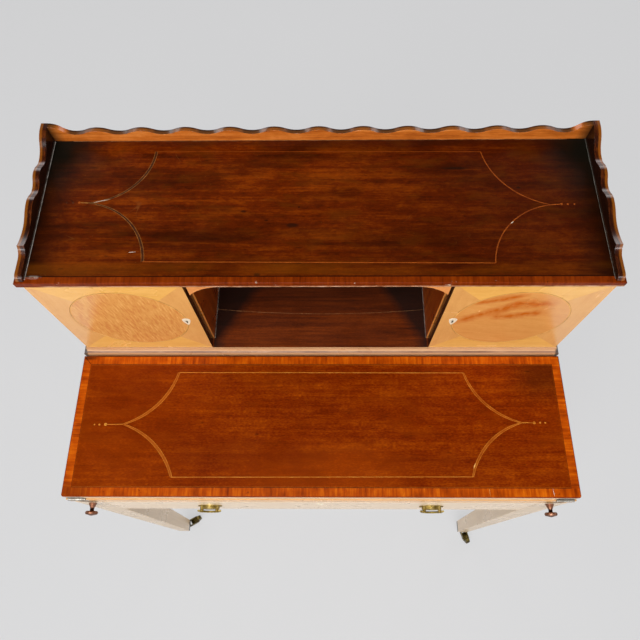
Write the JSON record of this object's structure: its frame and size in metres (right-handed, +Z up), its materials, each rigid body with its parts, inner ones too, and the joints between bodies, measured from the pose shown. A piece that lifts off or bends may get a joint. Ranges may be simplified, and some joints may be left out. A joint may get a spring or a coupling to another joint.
{
  "type": "writing desk",
  "caption": "Small lady's writing desk with a fold-over writing top, frieze drawer, pull-out lopers, cupboards beside an arched recess, a wavy gallery and casters",
  "frame": {"origin": "On the floor, below the middle of the four legs and of the part's bounding box", "axes": "+Z up; the drawer and doors face -Y; the sitter's right is +X"},
  "size_m": [0.7544, 0.497, 1.029],
  "materials": {
    "mahogany": "polished",
    "dark_mahogany": "waxed",
    "satinwood": "polished",
    "oak": "bare",
    "leather": "worn",
    "brass": "aged",
    "bone": "satin"
  },
  "bodies": {
    "desk": {"leg_front_left": "satinwood", "leg_front_right": "satinwood", "leg_back_left": "satinwood", "leg_back_right": "satinwood", "side_rail_left": "satinwood", "side_rail_right": "satinwood", "back_rail": "satinwood", "front_rail": "satinwood", "drawer_runner_left": "oak", "drawer_runner_right": "oak", "loper_guide_left": "oak", "loper_guide_right": "oak", "writing_bed": "satinwood", "bed_lining": "leather", "plinth_moulding": "satinwood", "cabinet_floor": "dark_mahogany", "cabinet_side_left": "dark_mahogany", "cabinet_side_right": "dark_mahogany", "partition_left": "dark_mahogany", "partition_right": "dark_mahogany", "cabinet_back": "dark_mahogany", "arched_apron": "satinwood", "cabinet_top": "mahogany", "gallery_back": "mahogany", "gallery_left": "mahogany", "gallery_right": "mahogany", "bed_hinge_leaves": "brass", "cabinet_hinge_leaves": "brass", "caster_plates": "brass"},
    "flap": {"writing_flap": "mahogany", "flap_lining": "leather", "flap_hinge_leaves": "brass"},
    "drawer": {"drawer_front": "satinwood", "drawer_side_left": "oak", "drawer_side_right": "oak", "drawer_back": "oak", "drawer_bottom": "oak", "drawer_escutcheon": "bone", "handle_plates": "brass"},
    "loper_left_body": {"loper_left": "satinwood", "loper_knob_left": "brass"},
    "door_left_body": {"door_left": "satinwood", "door_hinge_leaves_left": "brass", "door_escutcheon_left": "bone"},
    "bail_left": {"handle_bail_left": "brass"},
    "loper_right_body": {"loper_right": "satinwood", "loper_knob_right": "brass"},
    "door_right_body": {"door_right": "satinwood", "door_hinge_leaves_right": "brass", "door_escutcheon_right": "bone"},
    "bail_right": {"handle_bail_right": "brass"},
    "fork_front_left": {"caster_fork_front_left": "brass"},
    "wheel_front_left": {"caster_wheel_front_left": "brass"},
    "fork_front_right": {"caster_fork_front_right": "brass"},
    "wheel_front_right": {"caster_wheel_front_right": "brass"},
    "fork_back_left": {"caster_fork_back_left": "brass"},
    "wheel_back_left": {"caster_wheel_back_left": "brass"},
    "fork_back_right": {"caster_fork_back_right": "brass"},
    "wheel_back_right": {"caster_wheel_back_right": "brass"}
  },
  "joints": [
    {"name": "flap_fold", "type": "hinge", "parent": "desk", "child": "flap", "pos_m": [0, -0.22015, 0.74], "axis": [1, 0, 0], "range_deg": [0, 180]},
    {"name": "drawer_slide", "type": "slide", "parent": "desk", "child": "drawer", "axis": [0, -1, 0], "range_m": [0, 0.26]},
    {"name": "loper_left_slide", "type": "slide", "parent": "desk", "child": "loper_left_body", "axis": [0, -1, 0], "range_m": [0, 0.165]},
    {"name": "door_left_swing", "type": "hinge", "parent": "desk", "child": "door_left_body", "pos_m": [-0.368, 0.02115, 0.883], "axis": [0, 0, -1], "range_deg": [0, 115]},
    {"name": "bail_left_lift", "type": "hinge", "parent": "drawer", "child": "bail_left", "pos_m": [-0.1745, -0.2297, 0.672], "axis": [-1, 0, 0], "range_deg": [0, 95]},
    {"name": "loper_right_slide", "type": "slide", "parent": "desk", "child": "loper_right_body", "axis": [0, -1, 0], "range_m": [0, 0.165]},
    {"name": "door_right_swing", "type": "hinge", "parent": "desk", "child": "door_right_body", "pos_m": [0.368, 0.02115, 0.883], "axis": [0, 0, 1], "range_deg": [0, 115]},
    {"name": "bail_right_lift", "type": "hinge", "parent": "drawer", "child": "bail_right", "pos_m": [0.1745, -0.2297, 0.672], "axis": [-1, 0, 0], "range_deg": [0, 95]},
    {"name": "swivel_front_left", "type": "hinge", "parent": "desk", "child": "fork_front_left", "pos_m": [-0.356, -0.2085, 0.0335], "axis": [0, 0, 1], "continuous": true},
    {"name": "roll_front_left", "type": "hinge", "parent": "fork_front_left", "child": "wheel_front_left", "pos_m": [-0.33306, -0.19244, 0.014], "axis": [-0.5736, 0.8192, 0], "continuous": true},
    {"name": "swivel_front_right", "type": "hinge", "parent": "desk", "child": "fork_front_right", "pos_m": [0.356, -0.2085, 0.0335], "axis": [0, 0, 1], "continuous": true},
    {"name": "roll_front_right", "type": "hinge", "parent": "fork_front_right", "child": "wheel_front_right", "pos_m": [0.36739, -0.23408, 0.014], "axis": [0.9135, 0.4067, 0], "continuous": true},
    {"name": "swivel_back_left", "type": "hinge", "parent": "desk", "child": "fork_back_left", "pos_m": [-0.356, 0.2085, 0.0335], "axis": [0, 0, 1], "continuous": true},
    {"name": "roll_back_left", "type": "hinge", "parent": "fork_back_left", "child": "wheel_back_left", "pos_m": [-0.36739, 0.23408, 0.014], "axis": [-0.9135, -0.4067, 0], "continuous": true},
    {"name": "swivel_back_right", "type": "hinge", "parent": "desk", "child": "fork_back_right", "pos_m": [0.356, 0.2085, 0.0335], "axis": [0, 0, 1], "continuous": true},
    {"name": "roll_back_right", "type": "hinge", "parent": "fork_back_right", "child": "wheel_back_right", "pos_m": [0.33306, 0.19244, 0.014], "axis": [0.5736, -0.8192, 0], "continuous": true}
  ]
}
